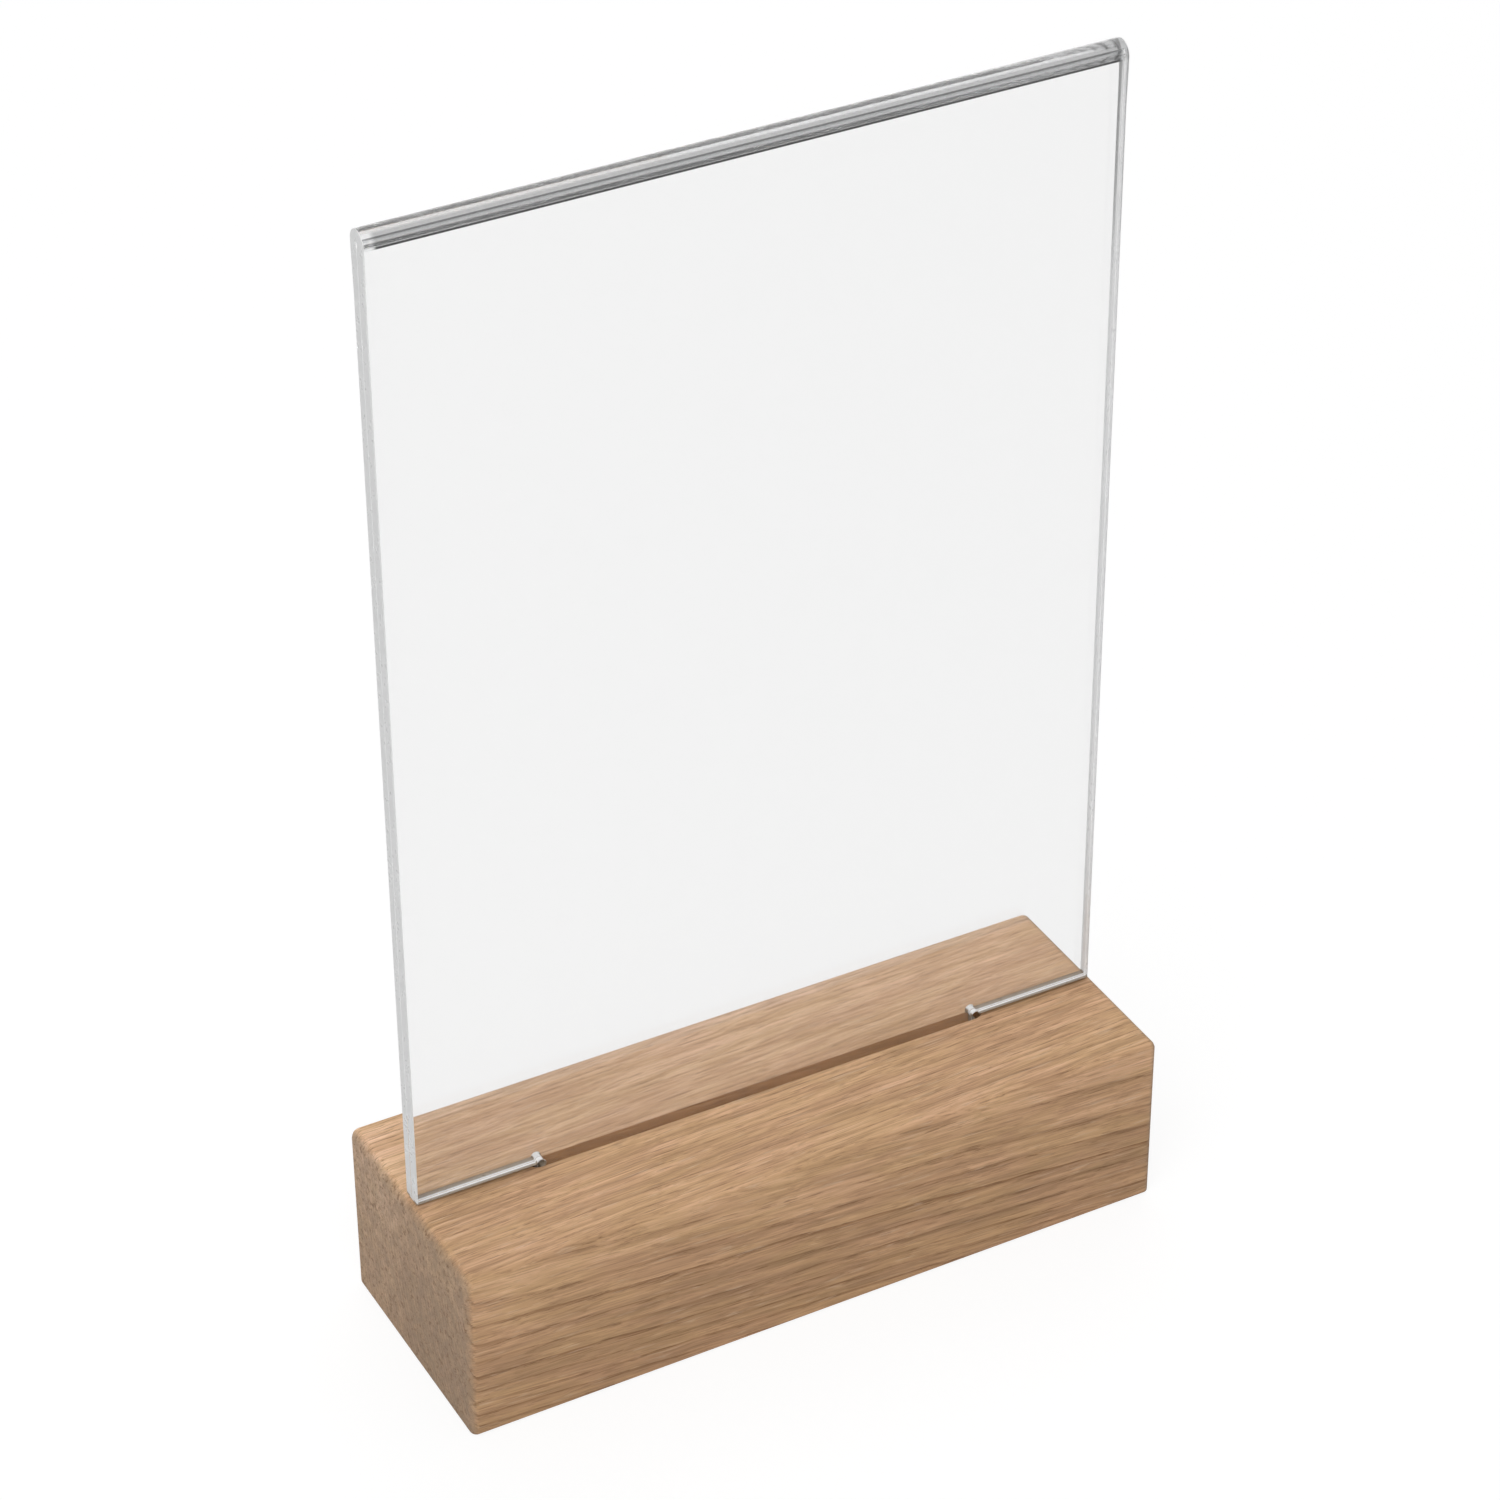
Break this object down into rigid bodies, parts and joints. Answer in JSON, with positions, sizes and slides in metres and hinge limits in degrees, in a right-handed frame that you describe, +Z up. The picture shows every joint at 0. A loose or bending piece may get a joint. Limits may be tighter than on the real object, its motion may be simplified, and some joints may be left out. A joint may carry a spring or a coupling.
{
  "type": "table sign holder",
  "caption": "Clear folded acrylic sleeve for an upright card, standing by its tab in the slot of a solid oak block with sanded edges.",
  "frame": {"origin": "middle of the block's underside, on the surface that it stands on", "axes": "+Z up, +X along the block and across the sleeve, +Y from the sleeve's front to its back"},
  "size_m": [0.11, 0.038, 0.1784],
  "materials": {
    "oak": "light oak, sanded and left matt",
    "clear_acrylic": "clear and polished, with cut edges"
  },
  "bodies": {
    "base": {"oak_block": "oak"},
    "sleeve": {"acrylic_sleeve": "clear_acrylic"}
  },
  "joints": [
    {"name": "sleeve_lift", "type": "slide", "parent": "base", "child": "sleeve", "axis": [0, 0, 1], "range_m": [0, 0.02]}
  ]
}
